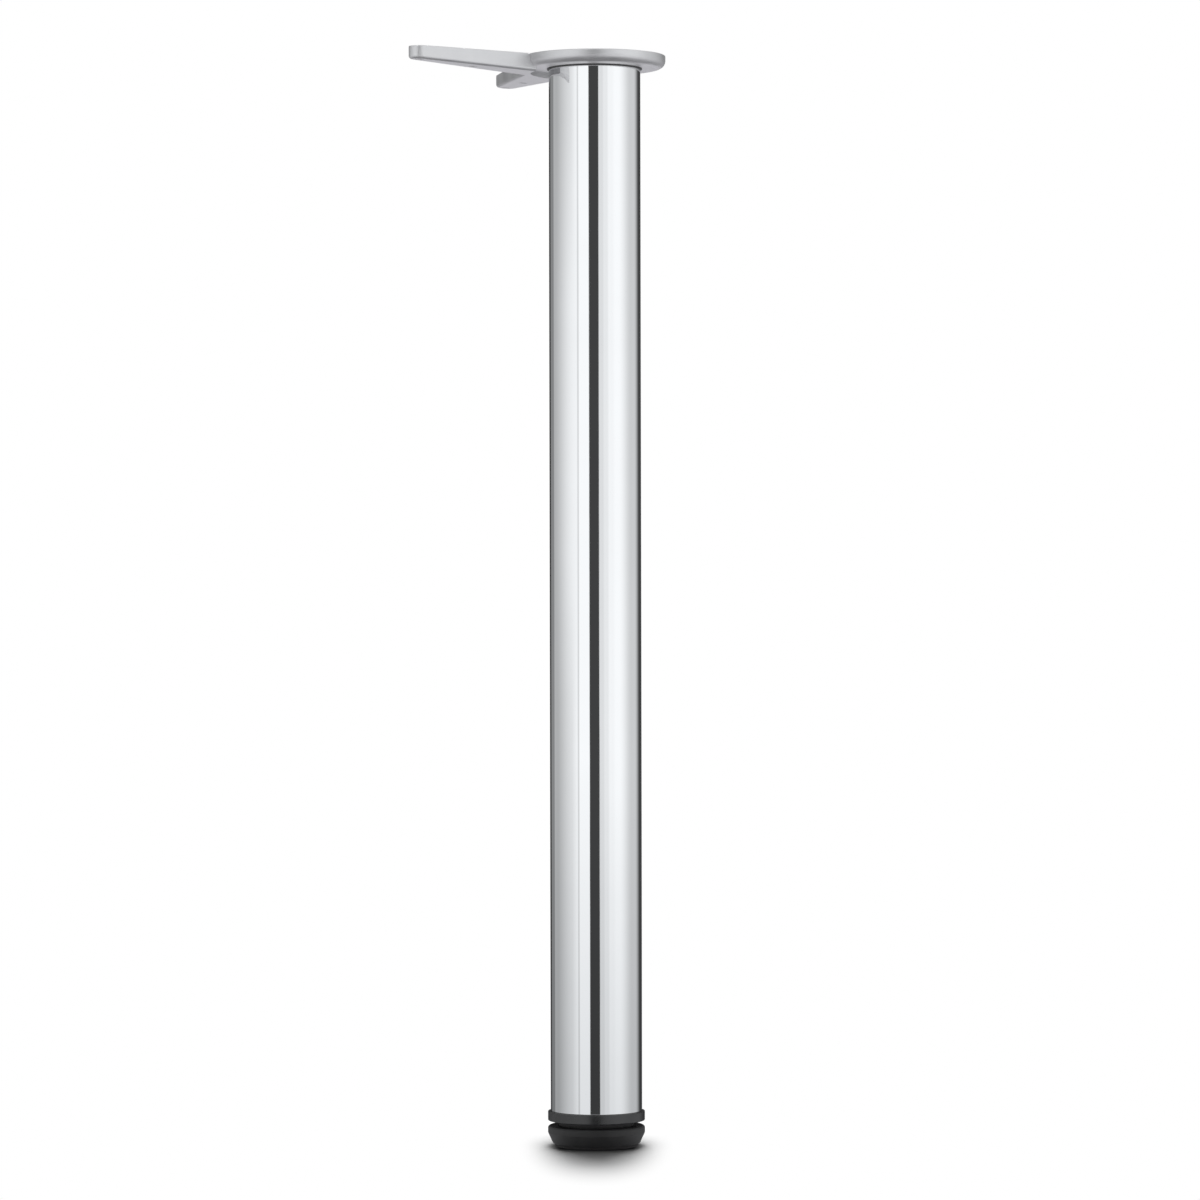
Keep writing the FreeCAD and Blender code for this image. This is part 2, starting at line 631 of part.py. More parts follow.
for item in doc.Objects:
    if "Invalid" in item.State or "Error" in item.State:
        raise RuntimeError("%s failed: %s" % (item.Name, item.State))
os.makedirs("parts", exist_ok=True)
for body in bodies:
    if body.Shape.isNull() or not body.Shape.isValid():
        raise RuntimeError("%s has no valid shape" % body.Label)
    print(body.Label, round(body.Shape.Volume), body.Shape.BoundBox)
    body.Shape.exportStep("parts/%s.step" % body.Label)
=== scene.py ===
# %% [markdown]
# A height adjustable table leg
#
# The leg is a chromed tube with a cast bracket on top and a black screw foot below. The solids come
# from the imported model, which is loaded first and stays where it is. This lesson gives each surface
# its finish, cuts the screw threads that the solids leave plain, and builds the small studio whose
# light cards show as the stripes in the chrome.

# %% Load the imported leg
import json
import math

import bpy
import numpy as np
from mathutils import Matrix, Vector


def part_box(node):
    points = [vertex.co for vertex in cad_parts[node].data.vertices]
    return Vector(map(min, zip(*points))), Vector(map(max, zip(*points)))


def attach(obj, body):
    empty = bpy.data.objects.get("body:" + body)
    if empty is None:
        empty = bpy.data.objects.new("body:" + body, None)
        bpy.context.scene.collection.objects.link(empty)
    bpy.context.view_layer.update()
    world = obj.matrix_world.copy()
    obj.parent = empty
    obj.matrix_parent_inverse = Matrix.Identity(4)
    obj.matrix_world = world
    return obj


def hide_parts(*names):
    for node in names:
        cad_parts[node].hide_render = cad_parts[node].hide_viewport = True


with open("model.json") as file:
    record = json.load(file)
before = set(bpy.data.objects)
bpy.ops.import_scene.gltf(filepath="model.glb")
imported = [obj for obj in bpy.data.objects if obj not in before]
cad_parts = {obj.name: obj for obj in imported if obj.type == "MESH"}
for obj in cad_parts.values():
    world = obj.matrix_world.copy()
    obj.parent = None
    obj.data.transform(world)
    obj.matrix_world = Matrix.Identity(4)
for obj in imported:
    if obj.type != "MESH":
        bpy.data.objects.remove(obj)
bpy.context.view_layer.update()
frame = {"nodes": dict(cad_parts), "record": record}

nodes = frame["nodes"]
MM = 0.001
print("nodes:", ", ".join(sorted(nodes)))

# %% [markdown]
# A surface from a grid of points
#
# Everything turned or threaded on this leg is one idea: a profile that runs round the axis. Its points
# form a grid, with one row for each step along the profile and one column for each step round the axis.
# Modifiers such as Screw could do it too, but a grid also takes a radius that changes with the angle,
# which threads and hexagons need. One helper turns such a grid into a closed mesh.

# %% Helpers: points of a grid
def angles_round(columns):
    """Angles of the grid's columns: equal steps round one full turn."""
    return np.linspace(0, 2 * math.pi, columns, endpoint=False)


def grid_from(radius, height, columns):
    """Points (r cos a, r sin a, z) of a grid, from r and z for each row and column."""
    angle = angles_round(columns)
    shape = (len(height), columns)
    r = np.broadcast_to(radius, shape)
    z = np.broadcast_to(np.reshape(height, (-1, 1)), shape)
    return np.stack([r * np.cos(angle), r * np.sin(angle), z], axis=2)


# %% Helpers: a closed mesh from a grid
SHARP_ANGLE = math.radians(32)


def closed_mesh(name, grid, ring):
    """Quads between neighbouring rows and columns, closed as a ring or by a fan at each end.

    A ring's last row joins its first. Otherwise a middle point closes each end. The profile runs
    anticlockwise in the half plane of radius and height, so that faces point outwards.
    """
    rows, columns, _ = grid.shape
    index = np.arange(rows * columns).reshape(rows, columns)
    after = np.roll(index, -1, axis=1)
    low, high = (index, np.roll(index, -1, axis=0)) if ring else (index[:-1], index[1:])
    low_next, high_next = (after, np.roll(after, -1, axis=0)) if ring else (after[:-1], after[1:])
    quads = np.stack([low, low_next, high_next, high], axis=2).reshape(-1, 4)
    points = grid.reshape(-1, 3)
    faces = quads.tolist()
    if not ring:
        middles = grid[[0, -1]].mean(axis=1)
        first, last = len(points), len(points) + 1
        points = np.concatenate([points, middles])
        start_fan = np.stack([after[0], index[0], np.full(columns, first)], axis=1)
        end_fan = np.stack([index[-1], after[-1], np.full(columns, last)], axis=1)
        faces += start_fan.tolist() + end_fan.tolist()
    mesh = bpy.data.meshes.new(name)
    mesh.from_pydata(points.tolist(), [], faces)
    mesh.validate()
    mesh.shade_smooth()
    mesh.set_sharp_from_angle(angle=SHARP_ANGLE)
    piece = bpy.data.objects.new(name, mesh)
    bpy.context.scene.collection.objects.link(piece)
    print("%s: %d points, %d faces" % (name, len(mesh.vertices), len(mesh.polygons)))
    return piece


def stands_for(piece, node, body):
    """The piece takes a node's place and moves with its body."""
    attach(piece, body)
    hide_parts(node)


# %% [markdown]
# The chromed tube
#
# Chrome shows every facet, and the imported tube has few. A turned wall of many columns has smooth
# reflections. The wall's rows stand close together near its ends, because the normals of a rounded end
# would otherwise bend the light all the way up the first row.

# %% The tube's wall, turned from its section
TUBE_WALL = 1.2 * MM
TUBE_EDGE = 0.25 * MM
TUBE_COLUMNS = 240
EDGE_STEPS = 5
WALL_ROWS = 60
END_MARGIN = 0.6 * MM

tube_low, tube_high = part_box("leg_tube")
TUBE_RADIUS = tube_high.x


def tube_section():
    """Section of the tube: the bore, then the outer wall, whose ends turn over a quarter round."""
    bore = TUBE_RADIUS - TUBE_WALL
    turn = np.linspace(0, math.pi / 2, EDGE_STEPS)
    low = tube_low.z + TUBE_EDGE * (1 - np.sin(turn))
    out = TUBE_RADIUS - TUBE_EDGE * (1 - np.cos(turn))
    wall = np.linspace(tube_low.z + END_MARGIN, tube_high.z - END_MARGIN, WALL_ROWS)
    top = tube_high.z - TUBE_EDGE * (1 - np.sin(turn))
    height = np.concatenate([wall[::-1], [tube_low.z], low[::-1], wall, top, [tube_high.z]])
    at_bore = np.full(WALL_ROWS, bore)
    at_wall = np.full(WALL_ROWS, TUBE_RADIUS)
    radius = np.concatenate([at_bore, [bore], out[::-1], at_wall, out, [bore]])
    return radius, height


tube_radius, tube_height = tube_section()
tube_grid = grid_from(tube_radius[:, None], tube_height, TUBE_COLUMNS)
tube = closed_mesh("chromed_tube", tube_grid, ring=True)
stands_for(tube, "leg_tube", "leg")
print("tube: radius %.2f mm, length %.1f mm" % (TUBE_RADIUS / MM, (tube_high.z - tube_low.z) / MM))

# %% [markdown]
# Screw threads
#
# The foot's spindle, the bracket's bolt and their nuts have plain cylinders in the solids. A thread is
# a radius that changes along a helix: it depends on the height and the angle only through one phase,
# height over pitch less angle over a full turn. A right-hand thread that turns and moves by one pitch a
# turn slides along itself, so the nut's thread can be the same formula with a little more radius.

# %% Helpers: threads and hexagons
COLUMNS = 96
ROWS_A_TURN = 14
CREST_SHARE = 1 / 8
ROOT_SHARE = 1 / 4
DEPTH_SHARE = 0.6134


def thread_radius(height, outside, pitch):
    """Radius over height and angle: outside on the crest, straight flanks, and outside less depth below.

    The depth is 0.6134 of the pitch, as on a metric thread, with a flat crest and a wider flat root.
    """
    turns = angles_round(COLUMNS)[None, :] / (2 * math.pi)
    phase = (height[:, None] / pitch - turns) % 1
    from_crest = np.abs(2 * phase - 1)
    flank = (from_crest - CREST_SHARE) / (1 - CREST_SHARE - ROOT_SHARE)
    return outside - DEPTH_SHARE * pitch * np.clip(flank, 0, 1)


def hexagon_radius(across):
    """Radius of a hexagon over the angle: half its width over the cosine of the angle off the flat."""
    sixth = math.pi / 3
    off_flat = (angles_round(COLUMNS) + sixth / 2) % sixth - sixth / 2
    return across / 2 / np.cos(off_flat)


def thread_rows(low, high, pitch):
    """Heights of a thread's rows, a fixed number for each turn."""
    return np.linspace(low, high, int(ROWS_A_TURN * (high - low) / pitch))


def round_rows(*radii):
    """Rows of a grid, one for each radius, which may be a number or an array over the angle."""
    return np.stack([np.broadcast_to(r, COLUMNS) for r in radii])


# %% [markdown]
# The foot's spindle
#
# The spindle carries the load: its hexagon head is moulded into the foot, and its thread runs in a nut
# inside the tube. Head and thread are one grid, so the thread grows straight out of the head. Near the
# tip a cone takes the crests away, which on the real screw helps it to find its nut.

# %% The spindle
SPINDLE_RADIUS = 6 * MM
SPINDLE_PITCH = 1.75 * MM
SPINDLE_HEAD = 7.5 * MM
SPINDLE_TIP = 1.2 * MM
EDGE = 0.4 * MM

spindle_low, spindle_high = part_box("spindle")
head_top = spindle_low.z + SPINDLE_HEAD
head = hexagon_radius(2 * spindle_high.x)
head_rows = round_rows(head - EDGE, head, head, head - EDGE)
head_heights = [spindle_low.z, spindle_low.z + EDGE, head_top - EDGE, head_top]
shank_heights = thread_rows(head_top, spindle_high.z, SPINDLE_PITCH)
shank = thread_radius(shank_heights, SPINDLE_RADIUS, SPINDLE_PITCH)
tip_limit = SPINDLE_RADIUS - SPINDLE_TIP + (spindle_high.z - shank_heights)
shank = np.minimum(shank, tip_limit[:, None])
spindle_rows = np.concatenate([head_rows, shank])
spindle_heights = np.concatenate([head_heights, shank_heights])
spindle = closed_mesh("threaded_spindle", grid_from(spindle_rows, spindle_heights, COLUMNS), ring=False)
stands_for(spindle, "spindle", "foot")

# %% [markdown]
# The bracket's bolt
#
# A countersunk bolt draws the bracket down onto the plug in the tube. From the tip up, its profile is a
# thread, a bare neck, the cone of the head with its narrow rim, and then down again into the hexagon
# socket. A hexagon is a radius over the angle too, so the socket needs only a few more rows.

# %% The countersunk bolt
BOLT_RADIUS = 5 * MM
BOLT_PITCH = 1.5 * MM
BOLT_LAND = 0.5 * MM
BOLT_TIP = 1.0 * MM
BOLT_BARE = 4.0 * MM
SOCKET_ACROSS = 6 * MM
SOCKET_DEPTH = 4 * MM

bolt_low, bolt_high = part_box("bracket_bolt")
bolt_rim = bolt_high.x
cone_foot = bolt_high.z - BOLT_LAND - (bolt_rim - BOLT_RADIUS)
socket = hexagon_radius(SOCKET_ACROSS)
socket_floor = bolt_high.z - SOCKET_DEPTH
thread_heights = thread_rows(bolt_low.z, cone_foot - BOLT_BARE, BOLT_PITCH)
bolt_thread = thread_radius(thread_heights, BOLT_RADIUS, BOLT_PITCH)
tip_limit = BOLT_RADIUS - BOLT_TIP + (thread_heights - bolt_low.z)
bolt_thread = np.minimum(bolt_thread, tip_limit[:, None])
bolt_head_rows = round_rows(
    BOLT_RADIUS, BOLT_RADIUS, bolt_rim, bolt_rim, bolt_rim - EDGE,
    socket + EDGE, socket, socket, socket / 2)
bolt_head_heights = [
    cone_foot - BOLT_BARE, cone_foot, bolt_high.z - BOLT_LAND, bolt_high.z - EDGE / 2, bolt_high.z,
    bolt_high.z, bolt_high.z - EDGE, socket_floor, socket_floor]
bolt_rows = np.concatenate([bolt_thread, bolt_head_rows])
bolt_heights = np.concatenate([thread_heights, bolt_head_heights])
bolt = closed_mesh("countersunk_bolt", grid_from(bolt_rows, bolt_heights, COLUMNS), ring=False)
stands_for(bolt, "bracket_bolt", "leg")

# %% [markdown]
# The nuts
#
# A nut is a ring: a hexagon outside and a thread inside. On the real nut a lathe takes the corners off
# at 30 degrees at both ends, so the outer rows fall away where the hexagon is widest. The bore runs from
# the top down, which closes the ring the right way round.

# %% The two nuts
THREAD_ROOM = 0.05 * MM
NUT_CHAMFER = math.tan(math.radians(30))


def hexagon_nut(name, node, thread, pitch):
    """A nut: a hexagon whose corners fall away at 30 degrees at both ends, round a threaded bore."""
    low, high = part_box(node)
    across = 2 * high.x
    flats = hexagon_radius(across)
    circle = np.full(COLUMNS, across / 2)
    fall = (flats - circle) * NUT_CHAMFER
    outside = grid_from(round_rows(circle, flats, flats, circle), np.zeros(4), COLUMNS)
    outside[:, :, 2] = round_rows(low.z, low.z + fall, high.z - fall, high.z)
    bore_heights = thread_rows(low.z, high.z, pitch)[::-1]
    bore = thread_radius(bore_heights, thread + THREAD_ROOM, pitch)
    inside = grid_from(bore, bore_heights, COLUMNS)
    nut = closed_mesh(name, np.concatenate([outside, inside]), ring=True)
    stands_for(nut, node, "leg")
    return nut


insert_nut = hexagon_nut("spindle_nut", "insert_nut", SPINDLE_RADIUS, SPINDLE_PITCH)
top_nut = hexagon_nut("bolt_nut", "top_nut", BOLT_RADIUS, BOLT_PITCH)

# %% [markdown]
# Shared surface effects
#
# Every finish here needs some of the same two things: a fine grain, which the light catches as tiny
# bumps, and slow patches, where the surface is a little duller or paler. Both are noise at two scales,
# so one node group gives them to all materials. It only puts out values, and each material decides what
# they drive.

# %% Helpers: nodes and links
def new_group(name, inputs, outputs):
    """An empty shader group with float or vector sockets."""
    group = bpy.data.node_groups.new(name, "ShaderNodeTree")
    for label, kind, number in inputs:
        socket = group.interface.new_socket(label, in_out="INPUT", socket_type=kind)
        if number is not None:
            socket.default_value = number
    for label in outputs:
        group.interface.new_socket(label, in_out="OUTPUT", socket_type="NodeSocketFloat")
    entry = group.nodes.new("NodeGroupInput")
    leave = group.nodes.new("NodeGroupOutput")
    return group, entry, leave


def add_node(tree, kind, settings=(), **inputs):
    """A new node with its settings, and its inputs set to numbers or linked to sockets.

    An input's name has underscores for spaces, or is i and a number. A two-item tuple of a node and an
    output is a link.
    """
    node = tree.nodes.new("ShaderNode" + kind)
    for member, choice in dict(settings).items():
        setattr(node, member, choice)
    for label, source in inputs.items():
        socket = node.inputs[int(label[1:]) if label[1:].isdigit() else label.replace("_", " ")]
        if isinstance(source, tuple) and isinstance(source[0], bpy.types.Node):
            tree.links.new(source[0].outputs[source[1]], socket)
        else:
            socket.default_value = source
    return node


def math_node(tree, operation, *values):
    """A maths node on numbers or links."""
    inputs = {"i%d" % place: number for place, number in enumerate(values)}
    return add_node(tree, "Math", {"operation": operation}, **inputs)


def link(tree, source, output, target, label):
    """Feed one node's input from another node's output."""
    tree.links.new(source.outputs[output], target.inputs[label])


# %% The grain group
GRAIN_SCALE = 1500.0
GRAIN_DETAIL = 3.0
GRAIN_FADE = 0.6
PATCH_SCALE = 60.0
PATCH_DETAIL = 4.0
PATCH_FADE = 0.55

grain_group, grain_in, grain_out = new_group(
    "grain_and_patches",
    [("Vector", "NodeSocketVector", None), ("Grain Scale", "NodeSocketFloat", GRAIN_SCALE),
     ("Patch Scale", "NodeSocketFloat", PATCH_SCALE)],
    ["Grain", "Patch"])
fine = add_node(
    grain_group, "TexNoise", Vector=(grain_in, "Vector"), Scale=(grain_in, "Grain Scale"),
    Detail=GRAIN_DETAIL, Roughness=GRAIN_FADE)
slow = add_node(
    grain_group, "TexNoise", Vector=(grain_in, "Vector"), Scale=(grain_in, "Patch Scale"),
    Detail=PATCH_DETAIL, Roughness=PATCH_FADE)
link(grain_group, fine, "Fac", grain_out, "Grain")
link(grain_group, slow, "Fac", grain_out, "Patch")
print("group:", grain_group.name)

# %% [markdown]
# From noise to a finish
#
# Raw noise lies mostly near its middle value, so its middle stretch is spread to a useful range: two
# tones for the colour, two numbers for the roughness, and a height for the bumps. Most finishes of this
# leg are that and no more, at other scales, so one function makes them.

# %% Helpers: parts of a finish
NOISE_LOW = 0.3
NOISE_HIGH = 0.7


def new_material(name):
    """A material with a Principled shader, and its object coordinates."""
    material = bpy.data.materials.new(name)
    material.use_nodes = True
    tree = material.node_tree
    shader = tree.nodes["Principled BSDF"]
    place = tree.nodes.new("ShaderNodeTexCoord")
    return material, tree, shader, place


def grain_node(tree, place, grain_scale, patch_scale):
    """The shared grain on object coordinates, with scales in repeats a metre."""
    node = tree.nodes.new("ShaderNodeGroup")
    node.node_tree = grain_group
    tree.links.new(place.outputs["Object"], node.inputs["Vector"])
    node.inputs["Grain Scale"].default_value = grain_scale
    node.inputs["Patch Scale"].default_value = patch_scale
    return node


def spread(tree, source, low, high):
    """A noise value, whose middle stretch is spread between two numbers."""
    return add_node(
        tree, "MapRange", Value=source, From_Min=NOISE_LOW, From_Max=NOISE_HIGH, To_Min=low, To_Max=high)


def two_tones(tree, source, dark, pale):
    """A colour between two tones, chosen by a value."""
    node = add_node(tree, "Mix", {"data_type": "RGBA"}, Factor=source)
    node.inputs["A"].default_value = (*dark, 1)
    node.inputs["B"].default_value = (*pale, 1)
    return node


def set_bump(tree, shader, source, strength, depth):
    """Tiny bumps from a height, of the given depth in metres."""
    bump = add_node(tree, "Bump", Strength=strength, Distance=depth, Height=source)
    link(tree, bump, "Normal", shader, "Normal")
    return bump


# %% Helper: a grained finish
def grained_finish(name, tones, roughness, scales, relief):
    """Two tones and a roughness that follow the slow patches, and bumps that follow the fine grain."""
    material, tree, shader, place = new_material(name)
    grain = grain_node(tree, place, *scales)
    patch = spread(tree, (grain, "Patch"), 0.0, 1.0)
    tone = two_tones(tree, (patch, "Result"), *tones)
    link(tree, tone, "Result", shader, "Base Color")
    dull = spread(tree, (grain, "Patch"), *roughness)
    link(tree, dull, "Result", shader, "Roughness")
    bump = set_bump(tree, shader, (grain, "Grain"), *relief)
    print("finish:", name)
    return material, shader, place, grain, bump


# %% [markdown]
# Chrome
#
# Polished chrome is nearly a mirror. What makes it look real is what is left of the tube under it:
# faint drawing lines along its length, which bend the edges of a reflection a little, and a gloss that
# varies slightly. The noise is stretched along the tube, so its lines run lengthwise.

# %% The chrome finish
CHROME_DARK = (0.89, 0.895, 0.90)
CHROME_PALE = (0.93, 0.935, 0.94)
CHROME_ROUGH = (0.028, 0.055)
CHROME_RELIEF = (0.35, 0.05 * MM)
CLOUD_SCALES = (900.0, 25.0)
LENGTHWISE = (1.0, 1.0, 0.012)
LINE_SCALE = 420.0
LINE_DETAIL = 4.0
LINE_FADE = 0.6
LINE_SHARE = 0.4
WAVE_SCALE = 60.0
WAVE_DETAIL = 2.0
WAVE_FADE = 0.5

chrome, tree, shader, place = new_material("chrome_plate")
shader.inputs["Metallic"].default_value = 1.0
along = add_node(tree, "Mapping", Vector=(place, "Object"), Scale=LENGTHWISE)
lines = add_node(
    tree, "TexNoise", Vector=(along, "Vector"), Scale=LINE_SCALE, Detail=LINE_DETAIL, Roughness=LINE_FADE)
waves = add_node(
    tree, "TexNoise", Vector=(along, "Vector"), Scale=WAVE_SCALE, Detail=WAVE_DETAIL, Roughness=WAVE_FADE)
clouds = grain_node(tree, place, *CLOUD_SCALES)
tone = two_tones(tree, (clouds, "Patch"), CHROME_DARK, CHROME_PALE)
link(tree, tone, "Result", shader, "Base Color")
dull = spread(tree, (lines, "Fac"), *CHROME_ROUGH)
link(tree, dull, "Result", shader, "Roughness")
line_height = math_node(tree, "MULTIPLY", (lines, "Fac"), LINE_SHARE)
chrome_height = math_node(tree, "ADD", (waves, "Fac"), (line_height, "Value"))
set_bump(tree, shader, (chrome_height, "Value"), *CHROME_RELIEF)
print("finish:", chrome.name)

# %% [markdown]
# Cast aluminium
#
# The bracket is a die casting with a thin silver-grey coat. It reflects softly, so the studio shows in
# it only as broad shades. A fine grain breaks up the light, and slow patches keep the large faces from
# looking like plastic.

# %% The bracket's finish
CAST_DARK = (0.75, 0.75, 0.76)
CAST_PALE = (0.83, 0.83, 0.835)
CAST_ROUGH = (0.39, 0.49)
CAST_SCALES = (1400.0, 55.0)
CAST_RELIEF = (0.24, 0.10 * MM)
CAST_METAL = 0.85

cast, shader, *_ = grained_finish(
    "cast_silver", (CAST_DARK, CAST_PALE), CAST_ROUGH, CAST_SCALES, CAST_RELIEF)
shader.inputs["Metallic"].default_value = CAST_METAL

# %% [markdown]
# Black plastic
#
# The collar, the foot and the plug are moulded in black plastic. The collar comes from a smooth mould
# and has a satin gloss. The moulds of the foot and the plug were blasted, so that scuffs don't show: they
# reflect less, and look a shade greyer.

# %% The moulded black parts
PLASTIC_DARK = (0.012, 0.0125, 0.013)
PLASTIC_PALE = (0.021, 0.0215, 0.022)
PLASTIC_ROUGH = (0.24, 0.36)
PLASTIC_SHINE = 0.8
DULL_DARK = (0.050, 0.050, 0.051)
DULL_PALE = (0.066, 0.066, 0.067)
DULL_ROUGH = (0.46, 0.60)
DULL_SHINE = 0.25
MOULD_SCALES = (2200.0, 110.0)
MOULD_RELIEF = (0.25, 0.08 * MM)

plastic, shader, *_ = grained_finish(
    "black_moulding", (PLASTIC_DARK, PLASTIC_PALE), PLASTIC_ROUGH, MOULD_SCALES, MOULD_RELIEF)
shader.inputs["Specular IOR Level"].default_value = PLASTIC_SHINE
dull_plastic, shader, *_ = grained_finish(
    "dull_moulding", (DULL_DARK, DULL_PALE), DULL_ROUGH, MOULD_SCALES, MOULD_RELIEF)
shader.inputs["Specular IOR Level"].default_value = DULL_SHINE

# %% [markdown]
# Rubber
#
# The sole is rubber: darker and duller than the foot, with the fine rings that its mould was turned
# with. Rings could be modelled, but they are far too fine to show as more than a change of light. A ring
# is where the distance from the axis passes the same place in a repeat, so the height of the bumps is a
# zigzag over that distance, added to the grain.

# %% The rubber sole
RUBBER_DARK = (0.016, 0.016, 0.0165)
RUBBER_PALE = (0.035, 0.034, 0.033)
RUBBER_ROUGH = (0.70, 0.88)
RUBBER_SCALES = (1800.0, 90.0)
RUBBER_RELIEF = (0.5, 0.12 * MM)
RING_PITCH = 1.4 * MM
FLATTENED = (1.0, 1.0, 0.0)

rubber, shader, place, grain, bump = grained_finish(
    "rubber_sole", (RUBBER_DARK, RUBBER_PALE), RUBBER_ROUGH, RUBBER_SCALES, RUBBER_RELIEF)
tree = rubber.node_tree
flat = add_node(tree, "VectorMath", {"operation": "MULTIPLY"}, i0=(place, "Object"), i1=FLATTENED)
from_axis = add_node(tree, "VectorMath", {"operation": "LENGTH"}, i0=(flat, "Vector"))
zigzag = math_node(tree, "PINGPONG", (from_axis, "Value"), RING_PITCH / 2)
ring_height = math_node(tree, "MULTIPLY", (zigzag, "Value"), 2 / RING_PITCH)
rubber_height = math_node(tree, "ADD", (ring_height, "Value"), (grain, "Grain"))
link(tree, rubber_height, "Value", bump, "Height")
print("rings: one every %.1f mm" % (RING_PITCH / MM))

# %% [markdown]
# Zinc plate
#
# The spindle, bolt and nuts are steel with a bright zinc coat. Zinc is paler and bluer than bare steel,
# and its gloss is cloudy, so its patches are small and differ more than those of the casting.

# %% The plated screws
ZINC_DARK = (0.50, 0.51, 0.53)
ZINC_PALE = (0.68, 0.69, 0.70)
ZINC_ROUGH = (0.22, 0.38)
ZINC_SCALES = (1600.0, 240.0)
ZINC_RELIEF = (0.20, 0.06 * MM)

zinc, shader, *_ = grained_finish(
    "zinc_plate", (ZINC_DARK, ZINC_PALE), ZINC_ROUGH, ZINC_SCALES, ZINC_RELIEF)
shader.inputs["Metallic"].default_value = 1.0

# %% [markdown]
# Dressing the pieces
#
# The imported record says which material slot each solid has, so a table from slot to finish dresses them
# all. The new pieces take theirs in the same way, and the foot and the plug get the duller plastic.

# %% Dress every piece
finishes = {
    "chromed_steel": chrome, "cast_aluminium": cast, "black_plastic": plastic, "zinc_steel": zinc,
    "black_rubber": rubber}
tube.data.materials.append(chrome)
for screw in (spindle, bolt, insert_nut, top_nut):
    screw.data.materials.append(zinc)
for row in frame["record"]["subparts"]:
    nodes[row["node"]].material_slots[0].material = finishes[row["material_slot"]]
for name in ("foot_base", "top_plug"):
    nodes[name].material_slots[0].material = dull_plastic
for name, node in sorted(nodes.items()):
    print("%s: %s" % (name, node.material_slots[0].material.name))

# %% [markdown]
# Floor
#
# The leg stands on a white sheet. Close to the foot it is a plain matt surface that shows the real
# shadow. Little light gets in beside the foot, so the occlusion node darkens the sheet's colour there:
# a painted shade, the dark rim.
# Further away the sheet turns into a plain white that needs no light. The glide always stands on the
# floor, whatever the height that is set, so the sheet rides on the glide.

# %% The sheet and its painted dark rim
FLOOR_HALF = 3.0
FLOOR_WHITE = 0.86
PAINTED_RIM_REACH = 0.10
PAINTED_RIM_DEPTH = 2.5
RIM_SAMPLES = 8

floor_points = FLOOR_HALF * np.array([[-1, -1, 0], [1, -1, 0], [1, 1, 0], [-1, 1, 0]], float)
floor_mesh = bpy.data.meshes.new("floor")
floor_mesh.from_pydata(floor_points.tolist(), [], [(0, 1, 2, 3)])
floor = bpy.data.objects.new("floor", floor_mesh)
bpy.context.scene.collection.objects.link(floor)
floor.visible_glossy = False
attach(floor, "glide")

sheet, tree, shader, place = new_material("white_sheet")
floor_mesh.materials.append(sheet)
shader.inputs["Roughness"].default_value = 1.0
shader.inputs["Specular IOR Level"].default_value = 0.0
# Painted shade: the occlusion round the foot, raised to a power, darkens the sheet's base colour.
rim = add_node(tree, "AmbientOcclusion", {"samples": RIM_SAMPLES}, Distance=PAINTED_RIM_REACH)
painted_rim_shade = math_node(tree, "POWER", (rim, "AO"), PAINTED_RIM_DEPTH)
sheet_tone_with_painted_shade = math_node(tree, "MULTIPLY", (painted_rim_shade, "Value"), FLOOR_WHITE)
link(tree, sheet_tone_with_painted_shade, "Value", shader, "Base Color")
print("floor: %.0f m wide" % (2 * FLOOR_HALF))

# %% [markdown]
# Matt under the foot, white beyond
#
# The matt part is an ellipse, drawn out towards the camera, because a low view shortens it to a small
# patch under the foot. The ellipse is a circle in coordinates that are squeezed across the view. Seen
# from below the sheet is clear, so that the sole can be looked at.

# %% The sheet's three kinds of surface
VIEW_AZIMUTH = math.radians(16.9)
MATT_TO = 0.10
WHITE_FROM = 0.225
MATT_ASPECT = 4.3

turned = add_node(
    tree, "VectorRotate", {"rotation_type": "Z_AXIS"}, Vector=(place, "Object"), Angle=-VIEW_AZIMUTH)
drawn_out = add_node(
    tree, "VectorMath", {"operation": "MULTIPLY"}, i0=(turned, "Vector"), i1=(MATT_ASPECT, 1.0, 0.0))
reach = add_node(tree, "VectorMath", {"operation": "LENGTH"}, i0=(drawn_out, "Vector"))
away = add_node(
    tree, "MapRange", {"interpolation_type": "SMOOTHSTEP"}, Value=(reach, "Value"),
    From_Min=MATT_TO, From_Max=WHITE_FROM)
plain_white = add_node(tree, "Emission", Color=(1, 1, 1, 1), Strength=1.0)
fade = add_node(
    tree, "MixShader", i0=(away, "Result"), i1=(shader, "BSDF"), i2=(plain_white, "Emission"))
clear = add_node(tree, "BsdfTransparent")
side = add_node(tree, "NewGeometry")
two_sided = add_node(tree, "MixShader", i0=(side, "Backfacing"), i1=(fade, "Shader"), i2=(clear, "BSDF"))
link(tree, two_sided, "Shader", tree.nodes["Material Output"], "Surface")
print("matt to %.0f mm, white from %.0f mm on" % (MATT_TO / MM, WHITE_FROM / MM))

# %% [markdown]
# The studio in the reflections
#
# Chrome has no colour of its own, so its look is the studio round it. Real cards and lamps would do, but
# they would also light the floor and cast shadows. A world shader that only reflections see is easier to
# place: seen from above, the studio is a circle of cards, and each has an edge at some angle from the
# lens, positive to the right, and a brightness up to the next edge.

# %% Helpers: soft edges, blends and distances
def smooth_step(tree, source, middle, softness):
    """From 0 to 1 as a value passes an edge, over the softness on both sides of it."""
    return add_node(
        tree, "MapRange", {"interpolation_type": "SMOOTHSTEP"}, Value=source,
        From_Min=middle - softness, From_Max=middle + softness)


def blend_colours(tree, factor, first, second):
    """One colour or the other by a factor: each is a colour or a node that gives one."""
    node = add_node(tree, "Mix", {"data_type": "RGBA"}, Factor=factor)
    for label, colour in (("A", first), ("B", second)):
        if isinstance(colour, bpy.types.Node):
            tree.links.new(colour.outputs["Result"], node.inputs[label])
        else:
            node.inputs[label].default_value = (*colour, 1)
    return node


